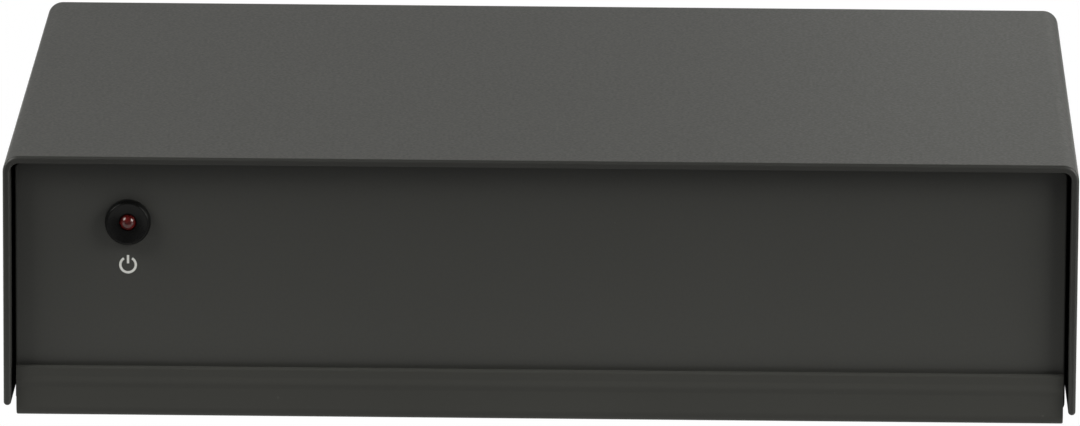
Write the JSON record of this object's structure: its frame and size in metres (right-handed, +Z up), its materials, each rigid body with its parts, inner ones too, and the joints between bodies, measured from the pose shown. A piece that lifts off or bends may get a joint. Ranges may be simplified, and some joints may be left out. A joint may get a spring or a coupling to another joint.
{
  "type": "phono preamp",
  "caption": "Low folded-steel phono preamp with a recessed front panel, a power lamp, and phono sockets, a ground terminal, a power inlet and a slide switch at the rear.",
  "frame": {"origin": "on the surface that the feet stand on, under the middle of the overall box", "axes": "+X to the right as seen from the front, +Y from the front panel to the rear panel, +Z up"},
  "size_m": [0.1902, 0.1464, 0.0494],
  "materials": {
    "coated_steel": "fine textured satin powder coat, near black",
    "black_plastic": "moulded black nylon",
    "lamp_red": "diffused red LED epoxy, unlit",
    "tinned_steel": "bright tin plate",
    "nickel": "nickel plate",
    "spring_brass": "brass, lightly dulled",
    "black_screws": "black zinc",
    "zinc_screws": "bright zinc",
    "rubber": "matt black rubber",
    "socket_white": "moulded white plastic",
    "socket_red": "moulded red plastic",
    "connector_cream": "natural nylon",
    "board_green": "green solder mask on glass epoxy",
    "phenolic": "brown phenolic",
    "chip_black": "matt black moulding compound",
    "capacitor_sleeve": "dark blue shrink sleeve",
    "film_red": "dipped red epoxy",
    "resistor_blue": "pale blue lacquer",
    "wire_red": "red PVC",
    "wire_green": "green PVC",
    "wire_black": "black PVC",
    "heat_sink_alloy": "extruded aluminium, clear anodised"
  },
  "bodies": {
    "case": {"top_cover": "coated_steel", "base_tray": "coated_steel", "front_panel": "coated_steel", "rear_panel": "coated_steel", "cover_screws": "black_screws", "front_panel_screws": "black_screws", "rear_panel_screws": "black_screws", "rubber_feet": "rubber", "lamp_bezel": "black_plastic", "lamp_ring": "black_plastic", "lamp_led": "lamp_red", "lamp_leads": "tinned_steel", "lamp_wires": "wire_red", "lamp_plug": "connector_cream", "lamp_header": "connector_cream", "input_block": "black_plastic", "output_block": "black_plastic", "input_shells": "nickel", "output_shells": "nickel", "input_contacts": "spring_brass", "output_contacts": "spring_brass", "left_inserts": "socket_white", "right_inserts": "socket_red", "socket_screws": "black_screws", "ground_stud": "nickel", "ground_lock_nut": "nickel", "ground_tag": "tinned_steel", "ground_wire": "wire_green", "inlet_housing": "black_plastic", "inlet_contacts": "nickel", "switch_frame": "tinned_steel", "switch_body": "phenolic", "switch_terminals": "tinned_steel", "switch_screws": "black_screws", "switch_wires": "wire_black", "switch_header": "connector_cream", "circuit_board": "board_green", "board_standoffs": "spring_brass", "board_screws": "zinc_screws", "standoff_screws": "black_screws", "amp_chips": "chip_black", "amp_chip_legs": "tinned_steel", "amp_sockets": "chip_black", "filter_capacitors": "capacitor_sleeve", "coupling_capacitors": "capacitor_sleeve", "film_capacitors": "film_red", "resistors": "resistor_blue", "resistor_leads": "tinned_steel", "rectifier_diodes": "chip_black", "diode_leads": "tinned_steel", "regulators": "chip_black", "regulator_legs": "tinned_steel", "regulator_screws": "zinc_screws", "heat_sink": "heat_sink_alloy"},
    "washer": {"ground_washer": "nickel"},
    "thumb_nut": {"ground_thumb_nut": "nickel"},
    "slider": {"switch_slider": "black_plastic"}
  },
  "joints": [
    {"name": "washer_slide", "type": "slide", "parent": "case", "child": "washer", "axis": [0, 1, 0], "range_m": [0, 0.0021]},
    {"name": "thumb_nut_turn", "type": "hinge", "parent": "washer", "child": "thumb_nut", "pos_m": [0.07, 0.0603, 0.0208], "axis": [0, 1, 0], "range_deg": [0, 1080]},
    {"name": "power_switch_slide", "type": "slide", "parent": "case", "child": "slider", "axis": [1, 0, 0], "range_m": [0, 0.004]}
  ],
  "couplings": [
    {"joint": "thumb_nut_turn", "follows": "washer_slide", "rad_per_m": 8976}
  ]
}
